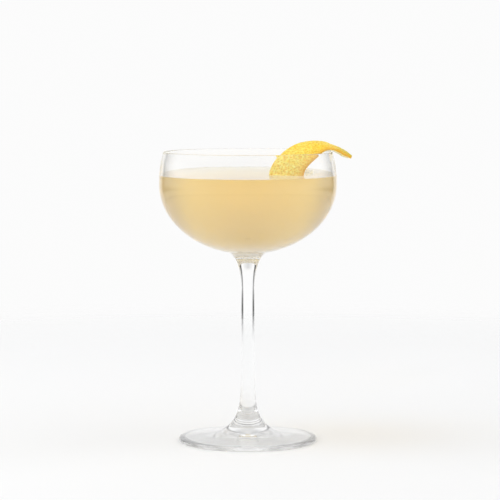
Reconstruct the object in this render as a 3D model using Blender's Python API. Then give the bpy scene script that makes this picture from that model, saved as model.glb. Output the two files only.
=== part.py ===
"""Stemmed coupe glass filled with a pale golden drink, with a twist of lemon peel over its rim.

Metres, +Z up. The origin is the centre of the foot's underside, on the axis of the glass.
The front of the drink faces -Y and the peel hangs over the rim at +X.
"""

import math

import bmesh
import bpy
from mathutils import Vector

# Glass: heights are above the table, radii are from the axis.
GLASS_HEIGHT = 0.1556
BOWL_RADIUS = 0.0475
BOWL_EQUATOR = 0.1384  # height of the widest part of the bowl
BOWL_DEPTH = 0.03745  # from the equator down to the bowl's outer bottom
BOWL_RISE = 0.056  # half height of the ellipse that draws the bowl in toward the rim
WALL = 0.0012
BOWL_FLOOR = 0.0017  # thickness of glass at the bottom of the bowl
COLLAR_RADIUS = 0.0096  # where the bowl runs into the stem
STEM_RADIUS = 0.0035
COLLAR_REACH = 0.0055  # how fast the stem widens toward the bowl
FOOT_FLARE = 0.0243  # how far the stem's flare would spread at table height
FOOT_REACH = 0.00658
STEM_END = 0.012  # height at which the stem's outline becomes the foot's
FOOT_RADIUS = 0.0371
FOOT_EDGE = 0.0025
FOOT_SLOPE = 0.12
FOOT_BLEND = 0.0008  # softness of the bend between the stem's flare and the foot's slope

# Drink
DRINK_LEVEL = 0.1430
GAP = 0.0003  # clearance between pieces that touch

# Lemon peel
PEEL_BULGE = 0.0009  # how far the middle of the strip stands out from its two edges
# Centre of the strip, direction across it, half its width and its thickness, from the end
# in the drink to the tip outside the rim. The skin is on the side that faces forward and up.
PEEL_STATIONS = (
    ((0.0190, -0.0158, 0.1402), (1.00, -0.10, -0.02), 0.0078, 0.0018),
    ((0.0201, -0.0150, 0.1432), (1.00, -0.12, -0.10), 0.0090, 0.0019),
    ((0.0219, -0.0142, 0.1478), (0.97, -0.16, -0.22), 0.0087, 0.0019),
    ((0.0252, -0.0126, 0.1524), (0.91, -0.25, -0.36), 0.0079, 0.0019),
    ((0.0307, -0.0098, 0.1563), (0.76, -0.48, -0.42), 0.0074, 0.0019),
    ((0.0361, -0.0064, 0.1582), (0.50, -0.78, -0.36), 0.0071, 0.0019),
    ((0.0408, -0.0034, 0.1588), (0.25, -0.94, -0.28), 0.0069, 0.0018),
    ((0.0446, -0.0012, 0.1578), (0.10, -0.98, -0.12), 0.0066, 0.0017),
    ((0.0478, 0.0000, 0.1566), (0.04, -0.99, -0.10), 0.0060, 0.0018),
    ((0.0514, 0.0006, 0.1545), (0.00, -0.98, -0.18), 0.0048, 0.0018),
    ((0.0550, 0.0008, 0.1524), (0.00, -0.99, -0.10), 0.0016, 0.0010),
)

# Facets
ROUND_STEPS = 56
LOWER_BOWL_STEPS = 12
UPPER_BOWL_STEPS = 4
LIP_STEPS = 4
STEM_STEPS = 11
FOOT_STEPS = 7
EDGE_STEPS = 4
PEEL_STEPS_ALONG = 30
PEEL_STEPS_ACROSS = 8
FOOT_CROWDING = 1.5  # above 1, the foot's rings lie closer together near the stem
SLOPE_STEP = 0.01  # share of a station over which the peel's direction is measured
FLAT_WITHIN = 1e-7  # an end of an outline counts as level within this height
SMOOTH_ANGLE = math.radians(35)


def clear_scene():
    for thing in list(bpy.data.objects):
        bpy.data.objects.remove(thing, do_unlink=True)


def make_material(name, colour, roughness, transmission=0.0, refraction=1.5):
    material = bpy.data.materials.new(name)
    material.use_nodes = True
    shader = material.node_tree.nodes["Principled BSDF"]
    shader.inputs["Base Color"].default_value = (*colour, 1.0)
    shader.inputs["Roughness"].default_value = roughness
    shader.inputs["Metallic"].default_value = 0.0
    shader.inputs["Transmission Weight"].default_value = transmission
    shader.inputs["IOR"].default_value = refraction
    material.diffuse_color = (*colour, 1.0)
    return material


def add_object(name, mesh_builder, material):
    """Turns a bmesh into a named, smooth-shaded object."""
    mesh = bpy.data.meshes.new(name)
    mesh_builder.to_mesh(mesh)
    mesh_builder.free()
    mesh.materials.append(material)
    mesh.shade_smooth()
    mesh.set_sharp_from_angle(angle=SMOOTH_ANGLE)
    thing = bpy.data.objects.new(name, mesh)
    bpy.context.collection.objects.link(thing)
    return thing


def spread(start, end, steps):
    """Evenly spaced values from start to end, both included."""
    return [start + (end - start) * step / steps for step in range(steps + 1)]


def turn(outline):
    """Solid of revolution from an outline of (radius, height) whose two ends lie on the axis."""
    builder = bmesh.new()
    rings = []
    for radius, height in outline[1:-1]:
        ring = []
        for step in range(ROUND_STEPS):
            angle = math.tau * step / ROUND_STEPS
            place = (radius * math.cos(angle), radius * math.sin(angle), height)
            ring.append(builder.verts.new(place))
        rings.append(ring)
    for upper, lower in zip(rings, rings[1:]):
        for step in range(ROUND_STEPS):
            following = (step + 1) % ROUND_STEPS
            builder.faces.new((upper[step], lower[step], lower[following], upper[following]))
    close_end(builder, rings[0], outline[0][1])
    close_end(builder, list(reversed(rings[-1])), outline[-1][1])
    return builder


def close_end(builder, ring, height):
    """One flat face over a level end, or a fan of triangles to a point on the axis."""
    if abs(ring[0].co.z - height) < FLAT_WITHIN:
        builder.faces.new(ring)
        return
    tip = builder.verts.new((0.0, 0.0, height))
    for vertex, following in zip(ring, ring[1:] + ring[:1]):
        builder.faces.new((tip, vertex, following))


def bowl_point(radius, depth, angle):
    """Point of a bowl's section, at an angle above or below the equator."""
    reach = BOWL_RISE if angle > 0 else depth
    return radius * math.cos(angle), BOWL_EQUATOR + reach * math.sin(angle)


def angle_at_height(height):
    return math.asin((height - BOWL_EQUATOR) / BOWL_RISE)


def inner_bowl(top_height, clearance=0.0):
    """Inner surface of the bowl from its bottom up to a height, moved in by the clearance."""
    radius = BOWL_RADIUS - WALL - clearance
    depth = BOWL_DEPTH - BOWL_FLOOR - clearance
    lower = spread(-math.pi / 2, 0.0, LOWER_BOWL_STEPS)
    upper = spread(0.0, angle_at_height(top_height), UPPER_BOWL_STEPS)
    points = [bowl_point(radius, depth, angle) for angle in lower + upper[1:]]
    points[0] = (0.0, points[0][1])
    return points


def stem_radius(height):
    collar_height = collar()[1]
    toward_bowl = (COLLAR_RADIUS - STEM_RADIUS) * math.exp((height - collar_height) / COLLAR_REACH)
    toward_foot = FOOT_FLARE * math.exp(-height / FOOT_REACH)
    return STEM_RADIUS + toward_bowl + toward_foot


def collar():
    """Radius and height of the edge where the bowl runs into the stem."""
    angle = -math.acos(COLLAR_RADIUS / BOWL_RADIUS)
    return bowl_point(BOWL_RADIUS, BOWL_DEPTH, angle)


def foot_height(radius):
    """Height of the foot's upper side, a shallow cone that bends up into the stem."""
    flare = -FOOT_REACH * math.log((radius - STEM_RADIUS) / FOOT_FLARE)
    cone = FOOT_EDGE + FOOT_SLOPE * (foot_top_radius() - radius)
    larger = max(flare, cone)
    return larger + FOOT_BLEND * math.log1p(math.exp(-abs(flare - cone) / FOOT_BLEND))


def foot_top_radius():
    """Radius at which the foot's upper side turns over into its rounded edge."""
    return FOOT_RADIUS - FOOT_EDGE / 2


def glass_outline():
    """From the inside of the bowl over the lip, down the outside, stem and foot."""
    lip_height = GLASS_HEIGHT - WALL / 2
    inside = inner_bowl(lip_height)
    outer_angles = spread(angle_at_height(lip_height), 0.0, UPPER_BOWL_STEPS)
    outer_angles += spread(0.0, -math.acos(COLLAR_RADIUS / BOWL_RADIUS), LOWER_BOWL_STEPS)[1:]
    outside = [bowl_point(BOWL_RADIUS, BOWL_DEPTH, angle) for angle in outer_angles]
    lip_centre = (inside[-1][0] + outside[0][0]) / 2
    lip_radius = (outside[0][0] - inside[-1][0]) / 2
    lip = []
    for angle in spread(math.pi, 0.0, LIP_STEPS)[1:-1]:
        lip.append((lip_centre + lip_radius * math.cos(angle), lip_height + WALL / 2 * math.sin(angle)))
    collar_height = outside[-1][1]
    stem = []
    for share in spread(0.0, 1.0, STEM_STEPS)[1:]:
        # Points crowd toward both ends of the stem, where it flares.
        eased = 0.5 - 0.5 * math.cos(math.pi * share)
        height = collar_height + (STEM_END - collar_height) * eased
        stem.append((stem_radius(height), height))
    foot = []
    for share in spread(0.0, 1.0, FOOT_STEPS)[1:]:
        radius = stem[-1][0] + (foot_top_radius() - stem[-1][0]) * share**FOOT_CROWDING
        foot.append((radius, foot_height(radius)))
    edge = []
    for angle in spread(math.pi / 2, -math.pi / 2, EDGE_STEPS)[1:]:
        across = FOOT_EDGE / 2 * math.cos(angle)
        edge.append((foot_top_radius() + across, FOOT_EDGE / 2 * (1 + math.sin(angle))))
    return inside + lip + outside + stem + foot + edge + [(0.0, 0.0)]


def drink_outline():
    """From the middle of the surface out to the bowl and down to its bottom."""
    wet = inner_bowl(DRINK_LEVEL, GAP)
    return [(0.0, DRINK_LEVEL)] + list(reversed(wet))


def smooth_between(values, position):
    """Catmull-Rom curve through a list of vectors; position runs from 0 to the last index."""
    index = min(int(position), len(values) - 2)
    share = position - index
    start, end = values[index], values[index + 1]
    before = values[index - 1] if index > 0 else start * 2 - end
    after = values[index + 2] if index + 2 < len(values) else end * 2 - start
    line = (end - before) * 0.5 * share
    bend = (before - start * 2.5 + end * 2 - after * 0.5) * share**2
    twist = ((after - before) * 0.5 + (start - end) * 1.5) * share**3
    return start + line + bend + twist


def peel_sections(margin):
    """Closed cross-sections of the peel, made larger all round by the margin."""
    centres = [Vector(centre) for centre, _, _, _ in PEEL_STATIONS]
    crossings = [Vector(across).normalized() for _, across, _, _ in PEEL_STATIONS]
    girths = [Vector((width, thickness)) for _, _, width, thickness in PEEL_STATIONS]
    last = len(PEEL_STATIONS) - 1
    sections = []
    for position in spread(0.0, last, PEEL_STEPS_ALONG):
        centre = smooth_between(centres, position)
        ahead = smooth_between(centres, min(position + SLOPE_STEP, last))
        behind = smooth_between(centres, max(position - SLOPE_STEP, 0.0))
        along = (ahead - behind).normalized()
        across = smooth_between(crossings, position).normalized()
        outward = across.cross(along).normalized()
        half_width, thickness = smooth_between(girths, position)
        half_width += margin
        half_thickness = thickness / 2 + margin
        if position == 0.0:
            centre = centre - along * margin
        if position == last:
            centre = centre + along * margin
        skin, pith = [], []
        for side in spread(-1.0, 1.0, PEEL_STEPS_ACROSS):
            middle = centre + across * (half_width * side)
            raised = PEEL_BULGE * (1 - side**2)
            skin.append(middle + outward * (raised + half_thickness))
            pith.append(middle + outward * (raised - half_thickness))
        sections.append(skin + list(reversed(pith)))
    return sections


def loft(sections):
    """Closed solid through a row of cross-sections."""
    builder = bmesh.new()
    rings = [[builder.verts.new(point) for point in section] for section in sections]
    count = len(rings[0])
    for ring, further in zip(rings, rings[1:]):
        for index in range(count):
            following = (index + 1) % count
            builder.faces.new((ring[index], further[index], further[following], ring[following]))
    builder.faces.new(list(reversed(rings[-1])))
    builder.faces.new(rings[0])
    bmesh.ops.triangulate(builder, faces=builder.faces[:])
    bmesh.ops.recalc_face_normals(builder, faces=builder.faces[:])
    return builder


def make_glass():
    clear_glass = make_material("clear_glass", (0.95, 0.97, 0.97), 0.02, transmission=1.0)
    return add_object("glass", turn(glass_outline()), clear_glass)


def make_drink(peel_space):
    golden = make_material("golden_drink", (0.80, 0.58, 0.26), 0.05, transmission=0.6, refraction=1.35)
    drink = add_object("drink", turn(drink_outline()), golden)
    slot = drink.modifiers.new("slot for the peel", "BOOLEAN")
    slot.operation = "DIFFERENCE"
    slot.object = peel_space
    return drink


def make_peel():
    zest = make_material("lemon_zest", (0.93, 0.66, 0.06), 0.4)
    return add_object("lemon_peel", loft(peel_sections(0.0)), zest)


def make_peel_space():
    """The peel with clearance all round, which is cut out of the drink."""
    cutting = make_material("cutter", (0.5, 0.5, 0.5), 0.5)
    space = add_object("peel_space", loft(peel_sections(GAP)), cutting)
    space.hide_render = True
    space.display_type = "WIRE"
    return space


clear_scene()
make_glass()
make_drink(make_peel_space())
make_peel()
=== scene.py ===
"""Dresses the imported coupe: clear blown glass, a pale golden drink and a twist of lemon peel.

Metres, +Z up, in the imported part's frame: the origin is the centre of the foot's underside, the
front of the drink faces -Y and the peel hangs over the rim at +X.
"""

import math
import random

import bmesh
import bpy
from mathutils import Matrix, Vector, noise


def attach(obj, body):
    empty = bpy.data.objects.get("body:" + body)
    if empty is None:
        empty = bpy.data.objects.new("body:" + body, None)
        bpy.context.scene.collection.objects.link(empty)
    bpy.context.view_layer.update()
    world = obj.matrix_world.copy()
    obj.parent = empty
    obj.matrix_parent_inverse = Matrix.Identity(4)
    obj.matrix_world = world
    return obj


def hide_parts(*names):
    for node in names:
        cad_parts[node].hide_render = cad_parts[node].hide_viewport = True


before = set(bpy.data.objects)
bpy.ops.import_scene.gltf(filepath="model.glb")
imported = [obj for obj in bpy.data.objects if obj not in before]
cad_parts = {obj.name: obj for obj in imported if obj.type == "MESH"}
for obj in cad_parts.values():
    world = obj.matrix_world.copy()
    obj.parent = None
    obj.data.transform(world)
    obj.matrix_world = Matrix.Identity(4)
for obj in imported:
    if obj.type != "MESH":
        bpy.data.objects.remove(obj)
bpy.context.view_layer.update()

# Glass: heights are above the table, radii are from the axis.
GLASS_HEIGHT = 0.1556
BOWL_RADIUS = 0.0475
BOWL_EQUATOR = 0.1384  # height of the widest part of the bowl
BOWL_DEPTH = 0.03745  # from the equator down to the bowl's outer bottom
BOWL_RISE = 0.056  # half height of the ellipse that draws the bowl in toward the rim
WALL = 0.0012
LIP_WALL = 0.0006
BOWL_FLOOR = 0.0017  # thickness of glass at the bottom of the bowl
COLLAR_RADIUS = 0.0096  # where the bowl runs into the stem
STEM_RADIUS = 0.0035
COLLAR_REACH = 0.0055  # how fast the stem widens toward the bowl
FOOT_FLARE = 0.0243  # how far the stem's flare would spread at table height
FOOT_REACH = 0.00658  # how fast the stem widens toward the foot
STEM_END = 0.012  # height at which the stem's outline becomes the foot's
FOOT_RADIUS = 0.0371
FOOT_EDGE = 0.0025  # thickness of the foot at its rounded edge
FOOT_SLOPE = 0.12  # rise of the foot's upper side toward the axis
FOOT_BLEND = 0.0008  # softness of the bend between the stem's flare and the foot's slope
FOOT_HOLLOW = 0.0036  # rise of the foot's underside at its middle
FOOT_REST = 0.0335  # inner radius of the ring on which the foot rests
ROUND_STEPS = 160
LOWER_BOWL_STEPS = 44
UPPER_BOWL_STEPS = 14
LIP_STEPS = 10
STEM_STEPS = 56
FOOT_STEPS = 40
EDGE_STEPS = 12
FOOT_CROWDING = 1.5  # above 1, the foot's rings lie closer together near the stem
SMOOTH_ANGLE = math.radians(35)  # edges that bend by more than this are shaded sharp

# Drink. Its haze is 0 on the surface, and on the wall it grows from HAZE_AT_TOP at the drink's
# level to 1 at the bottom: partly the drink's cloudiness, partly painted light that whitens the
# wall toward the bottom, where light crosses less of the drink.
DRINK_LEVEL = 0.1430
INTO_WALL = 0.0003  # the drink reaches this far into the glass, so that no air shows between them
WET_MARGIN = 0.00001  # how far from the wall's inner side a vertex still counts as on the wall
HAZE_AT_TOP = 0.7
HAZE_WHITENS = 0.93  # from here on, the wall is painted whiter toward the bottom: painted light
SURFACE_RINGS = 70
DRINK_STEPS = 256

# Lemon peel
PEEL_BULGE = 0.0009  # how far the middle of the strip stands out from its two edges
PEEL_ALONG = 300  # faces along the peel
PEEL_ACROSS = 84  # faces across its skin
PEEL_SUNK = 0.72  # station at which the peel's end lies, just under the drink's surface
SLOPE_STEP = 0.01  # share of a station over which the peel's direction is measured
PORE_SPACING = 0.00125
PORE_RADIUS = 0.00034
PORE_SIZES = (0.7, 1.25)  # smallest and largest pore, as shares of the radius
PORE_PLACES = (0.1, 0.9)  # where in its cell of the grid a pore's centre may lie
PORE_DEPTH = 0.00022
COLUMN_PRIME = 7919  # the two primes give each cell of the pores' grid a random draw of its own
ROW_PRIME = 104729
PEBBLE_SIZE = 0.0017
PEBBLE_DEPTH = 0.00028
LUMP_SIZE = 0.0075
LUMP_DEPTH = 0.00025
PITH_SIZE = 0.0018
PITH_DEPTH = 0.00012
LUMP_SHIFT = Vector((0.0, 0.0, 0.0))  # the shifts keep the three patterns of noise apart
PEBBLE_SHIFT = Vector((9.0, 3.0, 0.0))
PITH_SHIFT = Vector((0.0, 0.0, 5.0))
RIPE_AND_SHADE_POWER = 3  # the higher, the closer the orange keeps to its edge; partly painted shade
ZEST_SLOT = 0  # the peel's two materials
PITH_SLOT = 1

# Centre of the strip, direction across it, half its width and its thickness, from the end
# in the drink to the tip outside the rim. The skin is on the side that faces forward and up.
PEEL_STATIONS = (
    ((0.0190, -0.0158, 0.1402), (1.00, -0.10, -0.02), 0.0078, 0.0018),
    ((0.0201, -0.0150, 0.1432), (1.00, -0.12, -0.10), 0.0090, 0.0019),
    ((0.0219, -0.0142, 0.1478), (0.97, -0.16, -0.22), 0.0087, 0.0019),
    ((0.0256, -0.0126, 0.1524), (0.91, -0.25, -0.36), 0.0083, 0.0019),
    ((0.0309, -0.0098, 0.1563), (0.76, -0.48, -0.42), 0.0077, 0.0019),
    ((0.0361, -0.0064, 0.1584), (0.50, -0.78, -0.36), 0.0071, 0.0019),
    ((0.0408, -0.0034, 0.1588), (0.25, -0.94, -0.28), 0.0069, 0.0018),
    ((0.0446, -0.0012, 0.1577), (0.10, -0.98, -0.15), 0.0066, 0.0020),
    ((0.0478, 0.0000, 0.1562), (0.04, -0.99, -0.12), 0.0057, 0.0027),
    ((0.0514, 0.0006, 0.1541), (0.00, -0.98, -0.09), 0.0048, 0.0029),
    ((0.0550, 0.0008, 0.1522), (0.00, -0.98, -0.06), 0.0020, 0.0016),
)

# Places along the peel at which its colour changes, from 0 at its first station to 1 at its tip
# Painted light: the zest is painted paler and whiter low in the bowl, then deeper gold toward the
# rim
PAINTED_LIGHT_FADE = (0.20, 0.50)
# Toward the tip the zest darkens to olive, partly painted shade where the tip curls down out of the
# light.
TAIL = (0.72, 0.84)

# Bubbles on the drink: place and radius of those beside the peel, then a row along the back
BUBBLES_AT_PEEL = (
    (0.0310, -0.0060, 0.00080), (0.0314, 0.0010, 0.00110), (0.0331, 0.0050, 0.00090),
    (0.0318, 0.0115, 0.00105), (0.0341, -0.0010, 0.00065), (0.0326, 0.0200, 0.00085),
    (0.0346, 0.0110, 0.00060),
)
BUBBLE_RISE = 0.3  # share of the radius by which those beside the peel lie above half sunk
BUBBLE_SPLITS = 3  # subdivisions of each bubble's sphere
BACK_BUBBLES = 46
BACK_BUBBLE_SEED = 4
BACK_BUBBLE_ARC = (math.radians(62), math.radians(128))
BACK_BUBBLE_INWARD = (0.0014, 0.0036)  # distance from the wall
BACK_BUBBLE_RADIUS = (0.00014, 0.00034)

# Colours
WHITE = (1.0, 1.0, 1.0)
GLASS_COLOUR = (0.995, 0.998, 0.998)
GLASS_SHADE = (0.97, 0.97, 0.97)  # tint of the light that a lamp sends through
DRINK_GOLD = (0.985, 0.785, 0.0)  # the drink's volume takes the rest out of the light
# Pale bluish white on the drink's surface: a painted reflection of the bright studio above
PAINTED_SURFACE_REFLECTION = (0.96, 0.975, 1.0)
DRINK_SIDE = (0.97, 0.955, 0.77)
DRINK_SHADE = (0.97, 0.90, 0.74)
FILM = (1.0, 1.0, 0.98)
FILM_PATCH = (1.0, 0.98, 0.92)
# Pale zest is painted light on the part of the peel low in the bowl; deep zest lies over the rim.
PALE_ZEST = (0.96, 0.85, 0.25)
PALE_ZEST_SPECK = (0.96, 0.74, 0.14)
DEEP_ZEST = (0.92, 0.73, 0.05)
DEEP_ZEST_SPECK = (0.90, 0.63, 0.025)
# Darker olive of the tip: partly painted shade
TAIL_ZEST_AND_SHADE = (0.62, 0.55, 0.025)
# Orange toward one edge of the peel: partly the zest's own colour at its cut edge, partly painted
# shade
RIPE_AND_SHADE_ZEST = (0.84, 0.43, 0.02)
PORE_COLOUR = (0.80, 0.42, 0.01)
PITH_COLOUR = (0.98, 0.90, 0.58)
PITH_FIBRE = (0.95, 0.83, 0.38)

# Camera
CAMERA_PLACE = (0.00112, -1.20017, 0.20512)
CAMERA_DIP = math.radians(4.8647)
CAMERA_LENS = 162.0
SENSOR = 36.0

# Lamps: power in watts, place in metres
KEY_POWER = 1.4
KEY_SIZE = 0.5
KEY_PLACE = (-0.40, -0.12, 0.95)
KEY_AIM = (0.0, 0.0, 0.14)
SPOT_POWER = 3.6
SPOT_SIZE = 0.05
SPOT_CONE = math.radians(5.5)
SPOT_FADE = 1.0  # share of the cone over which the spot fades out
SPOT_PLACE = (-0.22, -0.85, 0.60)
SPOT_AIM = (0.028, -0.012, 0.150)

# Floor and backdrop
FLOOR_RADIUS = 1.2
FLOOR_SIDES = 96
FLOOR_COLOUR = (0.87, 0.872, 0.875)
FLOOR_FADE_START = 0.38  # from here outward the floor fades into the backdrop
FLOOR_FADE_END = 0.70
BACKDROP_COLOUR = (0.97, 0.97, 0.97)

# Studio: brightness by direction, along each row by the angle, in degrees, measured sideways from
# straight behind, and from row to row by the direction's height, where 1 is straight up. White
# cloth hangs behind as far as 30 degrees, then comes a dark gap, and from about 62 degrees on a
# large light. The dark stretch low down, in the second row, draws the dark lines of the stem.
STUDIO_ANGLES = (0, 30, 37, 48, 62, 72, 100, 180)
STUDIO_ROWS = (
    (-0.15, (1.0, 1.0, 0.5, 0.8, 0.9, 1.0, 1.2, 0.9)),
    (-0.11, (1.0, 1.0, 0.0, 0.0, 0.0, 0.3, 1.2, 0.9)),
    (-0.05, (1.0, 1.0, 0.1, 0.7, 1.1, 1.4, 1.3, 0.9)),
    (0.11, (1.0, 1.0, 0.0, 0.4, 1.0, 1.1, 0.8, 0.6)),
    (0.20, (0.7, 1.1, 0.0, 0.3, 0.9, 1.1, 0.8, 0.6)),
    (0.40, (0.7, 1.1, 0.0, 0.0, 0.4, 1.1, 1.0, 0.6)),
    (0.62, (0.8, 0.6, 0.6, 0.6, 1.1, 1.6, 1.5, 0.9)),
)

# How often light may bounce, or pass a surface that is clear to it, before it is lost
LIGHT_BOUNCES = 100
CLEAR_BOUNCES = 12


def spread(start, end, steps):
    """Evenly spaced values from start to end, both included."""
    return [start + (end - start) * step / steps for step in range(steps + 1)]


def add_object(name, builder, *materials):
    """Turns a bmesh into a named, smooth-shaded object."""
    mesh = bpy.data.meshes.new(name)
    builder.to_mesh(mesh)
    builder.free()
    for material in materials:
        mesh.materials.append(material)
    mesh.shade_smooth()
    mesh.set_sharp_from_angle(angle=SMOOTH_ANGLE)
    thing = bpy.data.objects.new(name, mesh)
    bpy.context.scene.collection.objects.link(thing)
    return thing


def turn(outline, round_steps=ROUND_STEPS):
    """Solid of revolution from an outline of (radius, height) whose two ends lie on the axis."""
    builder = bmesh.new()
    rings = []
    for radius, height in outline[1:-1]:
        ring = []
        for step in range(round_steps):
            angle = math.tau * step / round_steps
            place = (radius * math.cos(angle), radius * math.sin(angle), height)
            ring.append(builder.verts.new(place))
        rings.append(ring)
    for upper, lower in zip(rings, rings[1:]):
        for step in range(round_steps):
            following = (step + 1) % round_steps
            builder.faces.new((upper[step], lower[step], lower[following], upper[following]))
    close_end(builder, rings[0], outline[0][1])
    close_end(builder, list(reversed(rings[-1])), outline[-1][1])
    return builder


def close_end(builder, ring, height):
    """Fan of triangles from a ring to a point on the axis."""
    tip = builder.verts.new((0.0, 0.0, height))
    for vertex, following in zip(ring, ring[1:] + ring[:1]):
        builder.faces.new((tip, vertex, following))


def bowl_point(radius, depth, angle):
    """Point of a bowl's section, at an angle above or below the equator."""
    reach = BOWL_RISE if angle > 0 else depth
    return radius * math.cos(angle), BOWL_EQUATOR + reach * math.sin(angle)


def angle_at_height(height):
    return math.asin((height - BOWL_EQUATOR) / BOWL_RISE)


def lip_thinning(height):
    """How much thinner than WALL the glass is; it tapers from the widest level up to the lip."""
    share = min(max((height - BOWL_EQUATOR) / (GLASS_HEIGHT - BOWL_EQUATOR), 0.0), 1.0)
    return (WALL - LIP_WALL) * share * share * (3 - 2 * share)


def inner_bowl(top_height, clearance=0.0):
    """Inner surface of the bowl from its bottom up to a height, moved in by the clearance."""
    radius = BOWL_RADIUS - WALL - clearance
    depth = BOWL_DEPTH - BOWL_FLOOR - clearance
    lower = spread(-math.pi / 2, 0.0, LOWER_BOWL_STEPS)
    upper = spread(0.0, angle_at_height(top_height), UPPER_BOWL_STEPS)
    points = []
    for angle in lower + upper[1:]:
        across, height = bowl_point(radius, depth, angle)
        points.append((across + lip_thinning(height), height))
    points[0] = (0.0, points[0][1])
    return points


def collar():
    """Radius and height of the edge where the bowl runs into the stem."""
    angle = -math.acos(COLLAR_RADIUS / BOWL_RADIUS)
    return bowl_point(BOWL_RADIUS, BOWL_DEPTH, angle)


def stem_radius(height):
    collar_height = collar()[1]
    toward_bowl = (COLLAR_RADIUS - STEM_RADIUS) * math.exp((height - collar_height) / COLLAR_REACH)
    toward_foot = FOOT_FLARE * math.exp(-height / FOOT_REACH)
    return STEM_RADIUS + toward_bowl + toward_foot


def foot_top_radius():
    return FOOT_RADIUS - FOOT_EDGE / 2


def foot_height(radius):
    """Height of the foot's upper side, a shallow cone that bends up into the stem."""
    flare = -FOOT_REACH * math.log((radius - STEM_RADIUS) / FOOT_FLARE)
    cone = FOOT_EDGE + FOOT_SLOPE * (foot_top_radius() - radius)
    larger = max(flare, cone)
    return larger + FOOT_BLEND * math.log1p(math.exp(-abs(flare - cone) / FOOT_BLEND))


def hollow_rise(radius):
    """Height of the foot's underside."""
    return FOOT_HOLLOW * (1 - radius / FOOT_REST)


def lip_outline(inside_end, outside_start):
    """Round of the lip, between the two sides of the wall."""
    centre = (inside_end[0] + outside_start[0]) / 2
    radius = (outside_start[0] - inside_end[0]) / 2
    lip = []
    for angle in spread(math.pi, 0.0, LIP_STEPS)[1:-1]:
        lip.append((centre + radius * math.cos(angle), inside_end[1] + radius * math.sin(angle)))
    return lip


def stem_outline(top_height):
    """Down the stem, with points closer together at its two ends."""
    stem = []
    for share in spread(0.0, 1.0, STEM_STEPS)[1:]:
        eased = 0.5 - 0.5 * math.cos(math.pi * share)
        height = top_height + (STEM_END - top_height) * eased
        stem.append((stem_radius(height), height))
    return stem


def foot_outline(start_radius):
    """Out over the foot, round its edge and in along the hollow underside."""
    foot = []
    for share in spread(0.0, 1.0, FOOT_STEPS)[1:]:
        radius = start_radius + (foot_top_radius() - start_radius) * share**FOOT_CROWDING
        foot.append((radius, foot_height(radius)))
    for angle in spread(math.pi / 2, -math.pi / 2, EDGE_STEPS)[1:]:
        across = FOOT_EDGE / 2 * math.cos(angle)
        foot.append((foot_top_radius() + across, FOOT_EDGE / 2 * (1 + math.sin(angle))))
    for share in spread(0.0, 1.0, FOOT_STEPS)[:-1]:
        radius = FOOT_REST * (1 - share)
        foot.append((radius, hollow_rise(radius)))
    foot.append((0.0, hollow_rise(0.0)))
    return foot


def glass_outline():
    """From the inside of the bowl over the lip, down the outside, stem and foot."""
    lip_height = GLASS_HEIGHT - LIP_WALL / 2
    inside = inner_bowl(lip_height)
    outer_angles = spread(angle_at_height(lip_height), 0.0, UPPER_BOWL_STEPS)
    outer_angles += spread(0.0, -math.acos(COLLAR_RADIUS / BOWL_RADIUS), LOWER_BOWL_STEPS)[1:]
    outside = [bowl_point(BOWL_RADIUS, BOWL_DEPTH, angle) for angle in outer_angles]
    stem = stem_outline(outside[-1][1])
    return inside + lip_outline(inside[-1], outside[0]) + outside + stem + foot_outline(stem[-1][0])


def smooth_between(values, position):
    """Catmull-Rom curve through a list of vectors; position runs from 0 to the last index."""
    index = min(int(position), len(values) - 2)
    share = position - index
    start, end = values[index], values[index + 1]
    before = values[index - 1] if index > 0 else start * 2 - end
    after = values[index + 2] if index + 2 < len(values) else end * 2 - start
    line = (end - before) * 0.5 * share
    bend = (before - start * 2.5 + end * 2 - after * 0.5) * share**2
    twist = ((after - before) * 0.5 + (start - end) * 1.5) * share**3
    return start + line + bend + twist


# ---------------------------------------------------------------- nodes

def feed(tree, socket, value):
    """Gives a socket a number, a colour or the output of another node."""
    if isinstance(value, bpy.types.NodeSocket):
        tree.links.new(value, socket)
    elif isinstance(value, tuple):
        socket.default_value = (*value, 1.0)
    else:
        socket.default_value = value


def calculate(tree, operation, *values):
    node = tree.nodes.new("ShaderNodeMath")
    node.operation = operation
    for socket, value in zip(node.inputs, values):
        feed(tree, socket, value)
    return node.outputs["Value"]


def stretch(tree, value, low, high, to_low=0.0, to_high=1.0):
    """Value socket moved from one range to another, held within it."""
    change = tree.nodes.new("ShaderNodeMapRange")
    feed(tree, change.inputs["Value"], value)
    feed(tree, change.inputs["From Min"], low)
    feed(tree, change.inputs["From Max"], high)
    feed(tree, change.inputs["To Min"], to_low)
    feed(tree, change.inputs["To Max"], to_high)
    return change.outputs["Result"]


def attribute_value(tree, name):
    """A value that each vertex of the mesh carries."""
    attribute = tree.nodes.new("ShaderNodeAttribute")
    attribute.attribute_name = name
    return attribute.outputs["Fac"]


def noise_value(tree, scale, detail):
    """A noise pattern in the object's own metres, from 0 to 1."""
    coordinates = tree.nodes.new("ShaderNodeTexCoord")
    pattern = tree.nodes.new("ShaderNodeTexNoise")
    pattern.inputs["Scale"].default_value = scale
    pattern.inputs["Detail"].default_value = detail
    tree.links.new(coordinates.outputs["Object"], pattern.inputs["Vector"])
    return pattern.outputs["Fac"]


def blend_colours(tree, share, first, second):
    """Colour socket between two colours or sockets; the share is a socket."""
    mix = tree.nodes.new("ShaderNodeMix")
    mix.data_type = "RGBA"
    first_socket, second_socket = [socket for socket in mix.inputs if socket.type == "RGBA"]
    feed(tree, mix.inputs["Factor"], share)
    feed(tree, first_socket, first)
    feed(tree, second_socket, second)
    return next(socket for socket in mix.outputs if socket.type == "RGBA")


def mix_shaders(tree, share, first, second):
    mix = tree.nodes.new("ShaderNodeMixShader")
    for socket, source in zip(mix.inputs, (share, first, second)):
        tree.links.new(source, socket)
    return mix.outputs["Shader"]


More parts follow.
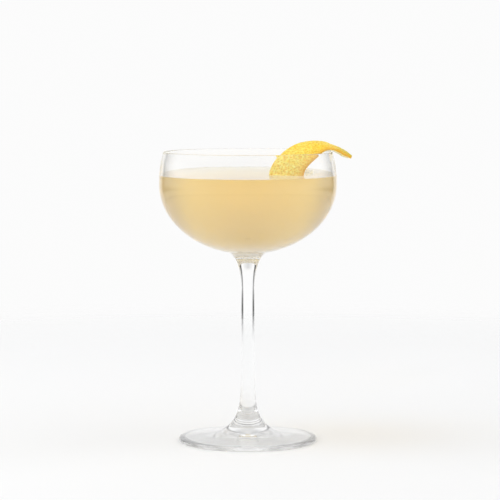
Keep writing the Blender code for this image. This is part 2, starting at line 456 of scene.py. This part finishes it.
def bump(tree, shader, height, distance):
    node = tree.nodes.new("ShaderNodeBump")
    node.inputs["Distance"].default_value = distance
    tree.links.new(height, node.inputs["Height"])
    tree.links.new(node.outputs["Normal"], shader.inputs["Normal"])


# ---------------------------------------------------------------- materials

def new_material(name):
    material = bpy.data.materials.new(name)
    material.use_nodes = True
    return material, material.node_tree, material.node_tree.nodes["Principled BSDF"]


def let_lamps_through(tree, shader, tint):
    """Lamps shine through the material with a tint, as through clear glass."""
    path = tree.nodes.new("ShaderNodeLightPath")
    clear = tree.nodes.new("ShaderNodeBsdfTransparent")
    feed(tree, clear.inputs["Color"], tint)
    toward_lamp = path.outputs["Is Shadow Ray"]
    mixed = mix_shaders(tree, toward_lamp, shader.outputs["BSDF"], clear.outputs["BSDF"])
    tree.links.new(mixed, tree.nodes["Material Output"].inputs["Surface"])


def glass_material():
    material, tree, shader = new_material("clear_glass")
    feed(tree, shader.inputs["Base Color"], GLASS_COLOUR)
    shader.inputs["Roughness"].default_value = 0.0
    shader.inputs["IOR"].default_value = 1.5
    shader.inputs["Transmission Weight"].default_value = 1.0
    bump(tree, shader, noise_value(tree, scale=70.0, detail=1.0), distance=0.00001)
    let_lamps_through(tree, shader, GLASS_SHADE)
    return material


def drink_material():
    """Clear on the surface under a painted reflection, cloudy on the wall and painted white toward
    the bottom, as painted light where light crosses little drink. Its depth gives the gold.
    """
    material, tree, shader = new_material("golden_drink")
    haze_and_light = attribute_value(tree, "haze_and_light")
    rough = stretch(tree, haze_and_light, 0.0, HAZE_AT_TOP, to_low=0.20, to_high=0.38)
    tree.links.new(rough, shader.inputs["Roughness"])
    # On the surface a diffuse share of pale bluish white is a painted reflection of the studio.
    clear_above = stretch(tree, haze_and_light, 0.0, HAZE_AT_TOP, to_low=0.70, to_high=0.80)
    clear_below = stretch(tree, haze_and_light, HAZE_AT_TOP, 1.0, to_low=0.80, to_high=0.62)
    # Painted light: the bottom of the wall is painted more diffuse and white, where light crosses
    # little drink.
    clear_bottom = stretch(tree, haze_and_light, HAZE_WHITENS, 1.0, to_low=0.80, to_high=0.30)
    clear_side = calculate(tree, "MINIMUM", clear_above, clear_below)
    clear = calculate(tree, "MINIMUM", clear_side, clear_bottom)
    tree.links.new(clear, shader.inputs["Transmission Weight"])
    below = stretch(tree, haze_and_light, 0.0, HAZE_AT_TOP)
    # White share down the wall: partly cloudiness, partly painted light whitening it toward the
    # bottom.
    cloud_and_painted_light = stretch(tree, haze_and_light, HAZE_AT_TOP, 1.0)
    golden = blend_colours(tree, below, PAINTED_SURFACE_REFLECTION, DRINK_SIDE)
    tint = blend_colours(tree, cloud_and_painted_light, golden, WHITE)
    tree.links.new(tint, shader.inputs["Base Color"])
    shader.inputs["IOR"].default_value = 1.35
    absorption = tree.nodes.new("ShaderNodeVolumeAbsorption")
    feed(tree, absorption.inputs["Color"], DRINK_GOLD)
    absorption.inputs["Density"].default_value = 24.0
    tree.links.new(absorption.outputs["Volume"], tree.nodes["Material Output"].inputs["Volume"])
    let_lamps_through(tree, shader, DRINK_SHADE)
    return material


def bubble_material():
    material, tree, shader = new_material("bubble_film")
    film = blend_colours(tree, noise_value(tree, scale=1500.0, detail=1.0), FILM, FILM_PATCH)
    tree.links.new(film, shader.inputs["Base Color"])
    shader.inputs["Roughness"].default_value = 0.02
    shader.inputs["IOR"].default_value = 1.45
    shader.inputs["Transmission Weight"].default_value = 0.8
    let_lamps_through(tree, shader, WHITE)
    return material


def zest_material():
    material, tree, shader = new_material("lemon_zest")
    along = attribute_value(tree, "along")
    speckle = stretch(tree, noise_value(tree, scale=620.0, detail=3.0), low=0.40, high=0.60)
    pale = blend_colours(tree, speckle, PALE_ZEST, PALE_ZEST_SPECK)
    deep = blend_colours(tree, speckle, DEEP_ZEST, DEEP_ZEST_SPECK)
    # Painted light: paler zest low in the bowl, deeper gold toward the rim.
    skin = blend_colours(tree, stretch(tree, along, *PAINTED_LIGHT_FADE), pale, deep)
    # Partly painted shade: the zest darkens to olive toward the curled-down tip.
    body = blend_colours(tree, stretch(tree, along, *TAIL), skin, TAIL_ZEST_AND_SHADE)
    # Partly painted shade: the skin turns orange toward one edge of the peel.
    ripe_and_shaded = blend_colours(tree, attribute_value(tree, "ripe_and_shade"), body, RIPE_AND_SHADE_ZEST)
    dotted = blend_colours(tree, attribute_value(tree, "pore"), ripe_and_shaded, PORE_COLOUR)
    tree.links.new(dotted, shader.inputs["Base Color"])
    waxiness = noise_value(tree, scale=900.0, detail=2.0)
    rough = stretch(tree, waxiness, low=0.3, high=0.7, to_low=0.22, to_high=0.38)
    tree.links.new(rough, shader.inputs["Roughness"])
    shader.inputs["Subsurface Weight"].default_value = 0.15
    shader.inputs["Subsurface Radius"].default_value = (0.0012, 0.0007, 0.0002)
    bump(tree, shader, noise_value(tree, scale=2600.0, detail=2.0), distance=0.00003)
    return material


def pith_material():
    material, tree, shader = new_material("lemon_pith")
    patches = stretch(tree, noise_value(tree, scale=400.0, detail=4.0), low=0.3, high=0.7)
    fibres = blend_colours(tree, patches, PITH_COLOUR, PITH_FIBRE)
    tree.links.new(fibres, shader.inputs["Base Color"])
    shader.inputs["Roughness"].default_value = 0.7
    shader.inputs["Subsurface Weight"].default_value = 0.2
    shader.inputs["Subsurface Radius"].default_value = (0.0015, 0.0012, 0.0006)
    bump(tree, shader, noise_value(tree, scale=1500.0, detail=4.0), distance=0.00008)
    return material


def floor_material():
    """Pale and matt, fading into the backdrop far out."""
    material, tree, shader = new_material("pale_floor")
    tree.nodes.remove(shader)
    diffuse = tree.nodes.new("ShaderNodeBsdfDiffuse")
    feed(tree, diffuse.inputs["Color"], FLOOR_COLOUR)
    clear = tree.nodes.new("ShaderNodeBsdfTransparent")
    coordinates = tree.nodes.new("ShaderNodeTexCoord")
    reach = tree.nodes.new("ShaderNodeVectorMath")
    reach.operation = "LENGTH"
    tree.links.new(coordinates.outputs["Object"], reach.inputs[0])
    fade = stretch(tree, reach.outputs["Value"], FLOOR_FADE_START, FLOOR_FADE_END)
    fade.node.interpolation_type = "SMOOTHSTEP"
    mixed = mix_shaders(tree, fade, diffuse.outputs["BSDF"], clear.outputs["BSDF"])
    tree.links.new(mixed, tree.nodes["Material Output"].inputs["Surface"])
    return material


# ---------------------------------------------------------------- glass and drink

def make_glass():
    glass = add_object("clear_coupe", turn(glass_outline()), glass_material())
    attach(glass, "root")
    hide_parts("glass")


def drink_outline():
    """From the middle of the surface out to the glass and down the wet wall."""
    wet = inner_bowl(DRINK_LEVEL, -INTO_WALL)
    surface = []
    for share in spread(0.0, 1.0, SURFACE_RINGS)[:-1]:
        surface.append((wet[-1][0] * share, DRINK_LEVEL))
    return surface + list(reversed(wet))


def wet_radius(height):
    """Radius just inside the wall that the drink wets at a height."""
    depth = (BOWL_EQUATOR - height) / (BOWL_DEPTH - BOWL_FLOOR)
    rise = (height - BOWL_EQUATOR) / BOWL_RISE
    share = min(1.0, max(depth, rise, 0.0))
    return (BOWL_RADIUS - WALL) * math.sqrt(1 - share**2) + lip_thinning(height) - WET_MARGIN


def make_drink():
    builder = turn(drink_outline(), DRINK_STEPS)
    haze_and_light = builder.verts.layers.float.new("haze_and_light")
    drink_bottom = BOWL_EQUATOR - BOWL_DEPTH + BOWL_FLOOR
    for vertex in builder.verts:
        if vertex.co.xy.length > wet_radius(vertex.co.z):
            depth = (DRINK_LEVEL - vertex.co.z) / (DRINK_LEVEL - drink_bottom)
            vertex[haze_and_light] = HAZE_AT_TOP + (1 - HAZE_AT_TOP) * depth
    drink = add_object("golden_liquid", builder, drink_material())
    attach(drink, "root")
    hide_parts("drink")


# ---------------------------------------------------------------- lemon peel

def pore_depths(points):
    """How deep each point of the flat skin lies in a pore, from 0 to 1."""
    depths = []
    for along, across in points:
        column, row = math.floor(along / PORE_SPACING), math.floor(across / PORE_SPACING)
        deepest = 0.0
        for near_column in (column - 1, column, column + 1):
            for near_row in (row - 1, row, row + 1):
                draw = random.Random(near_column * COLUMN_PRIME + near_row * ROW_PRIME)
                centre_along = (near_column + draw.uniform(*PORE_PLACES)) * PORE_SPACING
                centre_across = (near_row + draw.uniform(*PORE_PLACES)) * PORE_SPACING
                radius = PORE_RADIUS * draw.uniform(*PORE_SIZES)
                distance = math.hypot(along - centre_along, across - centre_across)
                deepest = max(deepest, math.exp(-((distance / radius) ** 2)))
        depths.append(deepest)
    return depths


def peel_places():
    """Centre, directions, girth and share of the way at evenly spaced places along the peel."""
    centres = [Vector(centre) for centre, _, _, _ in PEEL_STATIONS]
    crossings = [Vector(across).normalized() for _, across, _, _ in PEEL_STATIONS]
    girths = [Vector((width, thickness)) for _, _, width, thickness in PEEL_STATIONS]
    last = len(PEEL_STATIONS) - 1
    places = []
    for position in spread(PEEL_SUNK, last, PEEL_ALONG):
        centre = smooth_between(centres, position)
        ahead = smooth_between(centres, min(position + SLOPE_STEP, last))
        behind = smooth_between(centres, max(position - SLOPE_STEP, 0.0))
        along = (ahead - behind).normalized()
        across = smooth_between(crossings, position).normalized()
        outward = across.cross(along).normalized()
        places.append((centre, across, outward, smooth_between(girths, position), position / last))
    return places


def peel_sides():
    """Places across the peel, from -1 to 1, closer together near its two edges."""
    sides = []
    for share in spread(-1.0, 1.0, PEEL_ACROSS):
        sides.append(0.5 * share + 0.5 * math.sin(math.pi / 2 * share))
    return sides


def unevenness(spot, size, shift):
    """Smooth noise from 0 to 1 in patches of about this size."""
    return 0.5 + 0.5 * noise.noise(spot / size + shift)


def peel_ring(builder, layers, place, travelled, sides):
    """Ring of vertices round the peel: over the skin, then back along the pith."""
    centre, across, outward, (half_width, thickness), way = place
    pore_layer, ripe_and_shade_layer, along_layer = layers
    half = thickness / 2
    flat = [(travelled, half_width * side) for side in sides]
    skin, pith = [], []
    for side, pore, (along_way, across_way) in zip(sides, pore_depths(flat), flat):
        middle = centre + across * across_way + outward * (PEEL_BULGE * (1 - side**2))
        inset = max(0.0, abs(side) * half_width - (half_width - half)) / half
        rounded = half * math.sqrt(max(0.0, 1 - inset**2))
        share = rounded / half
        spot = Vector((along_way, across_way, 0.0))
        lumps = LUMP_DEPTH * unevenness(spot, LUMP_SIZE, LUMP_SHIFT)
        pebbles = PEBBLE_DEPTH * unevenness(spot, PEBBLE_SIZE, PEBBLE_SHIFT)
        sink = lumps + pebbles + PORE_DEPTH * pore
        vertex = builder.verts.new(middle + outward * (rounded - sink * share))
        vertex[pore_layer] = pore
        # Partly painted shade: the orange share grows toward the edge at side 1.
        vertex[ripe_and_shade_layer] = max(0.0, side) ** RIPE_AND_SHADE_POWER
        vertex[along_layer] = way
        skin.append(vertex)
        if abs(side) < 1.0:
            fibres = PITH_DEPTH * unevenness(spot, PITH_SIZE, PITH_SHIFT)
            pith.append(builder.verts.new(middle - outward * (rounded - fibres * share)))
    return skin + list(reversed(pith))


def make_peel():
    builder = bmesh.new()
    layers = [builder.verts.layers.float.new(name) for name in ("pore", "ripe_and_shade", "along")]
    sides = peel_sides()
    places = peel_places()
    rings = []
    travelled = 0.0
    for place, place_before in zip(places, places[:1] + places[:-1]):
        travelled += (place[0] - place_before[0]).length
        rings.append(peel_ring(builder, layers, place, travelled, sides))
    count = len(rings[0])
    for ring, further in zip(rings, rings[1:]):
        for index in range(count):
            following = (index + 1) % count
            corners = (ring[index], further[index], further[following], ring[following])
            face = builder.faces.new(corners)
            face.material_index = ZEST_SLOT if index < PEEL_ACROSS else PITH_SLOT
    builder.faces.new(list(reversed(rings[-1])))
    builder.faces.new(rings[0])
    bmesh.ops.recalc_face_normals(builder, faces=builder.faces[:])
    peel = add_object("lemon_twist", builder, zest_material(), pith_material())
    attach(peel, "root")
    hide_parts("lemon_peel")


# ---------------------------------------------------------------- bubbles

def add_bubble(builder, place, radius):
    made = bmesh.ops.create_icosphere(builder, subdivisions=BUBBLE_SPLITS, radius=radius)
    bmesh.ops.translate(builder, verts=made["verts"], vec=place)


def make_bubbles():
    draw = random.Random(BACK_BUBBLE_SEED)
    nearest, furthest = BACK_BUBBLE_INWARD
    builder = bmesh.new()
    for x, y, radius in BUBBLES_AT_PEEL:
        add_bubble(builder, Vector((x, y, DRINK_LEVEL + radius * BUBBLE_RISE)), radius)
    for _ in range(BACK_BUBBLES):
        angle = draw.uniform(*BACK_BUBBLE_ARC)
        inward = nearest + (furthest - nearest) * draw.random() ** 2
        radius = draw.uniform(*BACK_BUBBLE_RADIUS)
        reach = BOWL_RADIUS - WALL - inward
        place = Vector((reach * math.cos(angle), reach * math.sin(angle), DRINK_LEVEL))
        add_bubble(builder, place, radius)
    bubbles = add_object("surface_bubbles", builder, bubble_material())
    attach(bubbles, "root")


# ---------------------------------------------------------------- studio

def make_camera():
    data = bpy.data.cameras.new("camera")
    data.lens = CAMERA_LENS
    data.sensor_width = SENSOR
    camera = bpy.data.objects.new("camera", data)
    camera.location = CAMERA_PLACE
    camera.rotation_euler = (math.pi / 2 - CAMERA_DIP, 0.0, 0.0)
    bpy.context.scene.collection.objects.link(camera)
    bpy.context.scene.camera = camera


def brightness_ramp(tree, position, places, values):
    """Brightness that runs evenly from place to place, each from 0 to 1, with a value for each."""
    ramp = tree.nodes.new("ShaderNodeValToRGB")
    tree.links.new(position, ramp.inputs["Fac"])
    elements = ramp.color_ramp.elements
    while len(elements) < len(places):
        elements.new(0.5)  # its real place follows
    for element, place, brightness in zip(elements, places, values):
        element.position = place
        element.color = (brightness, brightness, brightness, 1.0)
    return ramp.outputs["Color"]


def studio_brightness(tree):
    """Brightness of the studio in each direction, from STUDIO_ROWS."""
    coordinates = tree.nodes.new("ShaderNodeTexCoord")
    direction = tree.nodes.new("ShaderNodeSeparateXYZ")
    tree.links.new(coordinates.outputs["Generated"], direction.inputs["Vector"])
    off_middle = calculate(tree, "ABSOLUTE", direction.outputs["X"])
    sideways = calculate(tree, "ARCTAN2", off_middle, direction.outputs["Y"])
    half_turn_share = calculate(tree, "DIVIDE", sideways, math.pi)
    places = [angle / 180 for angle in STUDIO_ANGLES]
    rows = []
    for height, values in STUDIO_ROWS:
        rows.append((height, brightness_ramp(tree, half_turn_share, places, values)))
    height_below, light = rows[0]
    for height, row in rows[1:]:
        light = stretch(tree, direction.outputs["Z"], height_below, height, light, row)
        height_below = height
    return light


def make_world():
    """The studio as it is mirrored and seen through glass; the camera itself sees the backdrop."""
    world = bpy.data.worlds.new("studio")
    bpy.context.scene.world = world
    world.use_nodes = True
    tree = world.node_tree
    tree.nodes.clear()
    studio = tree.nodes.new("ShaderNodeBackground")
    feed(tree, studio.inputs["Color"], WHITE)
    feed(tree, studio.inputs["Strength"], studio_brightness(tree))
    backdrop = tree.nodes.new("ShaderNodeBackground")
    feed(tree, backdrop.inputs["Color"], BACKDROP_COLOUR)
    path = tree.nodes.new("ShaderNodeLightPath")
    from_camera = path.outputs["Is Camera Ray"]
    mixed = mix_shaders(tree, from_camera, studio.outputs[0], backdrop.outputs[0])
    output = tree.nodes.new("ShaderNodeOutputWorld")
    tree.links.new(mixed, output.inputs["Surface"])


def add_lamp(data, place, aim):
    """Puts a lamp in the scene that lights the pieces but isn't itself seen or mirrored."""
    lamp = bpy.data.objects.new(data.name, data)
    lamp.location = place
    lamp.rotation_euler = (Vector(aim) - Vector(place)).to_track_quat("-Z", "Y").to_euler()
    lamp.visible_glossy = False
    lamp.visible_transmission = False
    lamp.visible_camera = False
    bpy.context.scene.collection.objects.link(lamp)


def make_key_light():
    """A large soft lamp, high at the left."""
    data = bpy.data.lights.new("key", "AREA")
    data.shape = "DISK"
    data.size = KEY_SIZE
    data.energy = KEY_POWER
    add_lamp(data, KEY_PLACE, KEY_AIM)


def make_peel_light():
    """A small soft spot from the front on the lemon peel."""
    data = bpy.data.lights.new("peel_spot", "SPOT")
    data.energy = SPOT_POWER
    data.spot_size = SPOT_CONE
    data.spot_blend = SPOT_FADE
    data.shadow_soft_size = SPOT_SIZE
    add_lamp(data, SPOT_PLACE, SPOT_AIM)


def make_floor():
    builder = bmesh.new()
    bmesh.ops.create_circle(builder, cap_ends=True, segments=FLOOR_SIDES, radius=FLOOR_RADIUS)
    floor = add_object("pale_floor", builder, floor_material())


make_camera()
make_world()
make_key_light()
make_peel_light()
make_floor()
make_glass()
make_drink()
make_peel()
make_bubbles()

bpy.context.scene.view_settings.view_transform = "Standard"
bpy.context.scene.cycles.max_bounces = LIGHT_BOUNCES
bpy.context.scene.cycles.transmission_bounces = LIGHT_BOUNCES
bpy.context.scene.cycles.glossy_bounces = LIGHT_BOUNCES
bpy.context.scene.cycles.transparent_max_bounces = CLEAR_BOUNCES
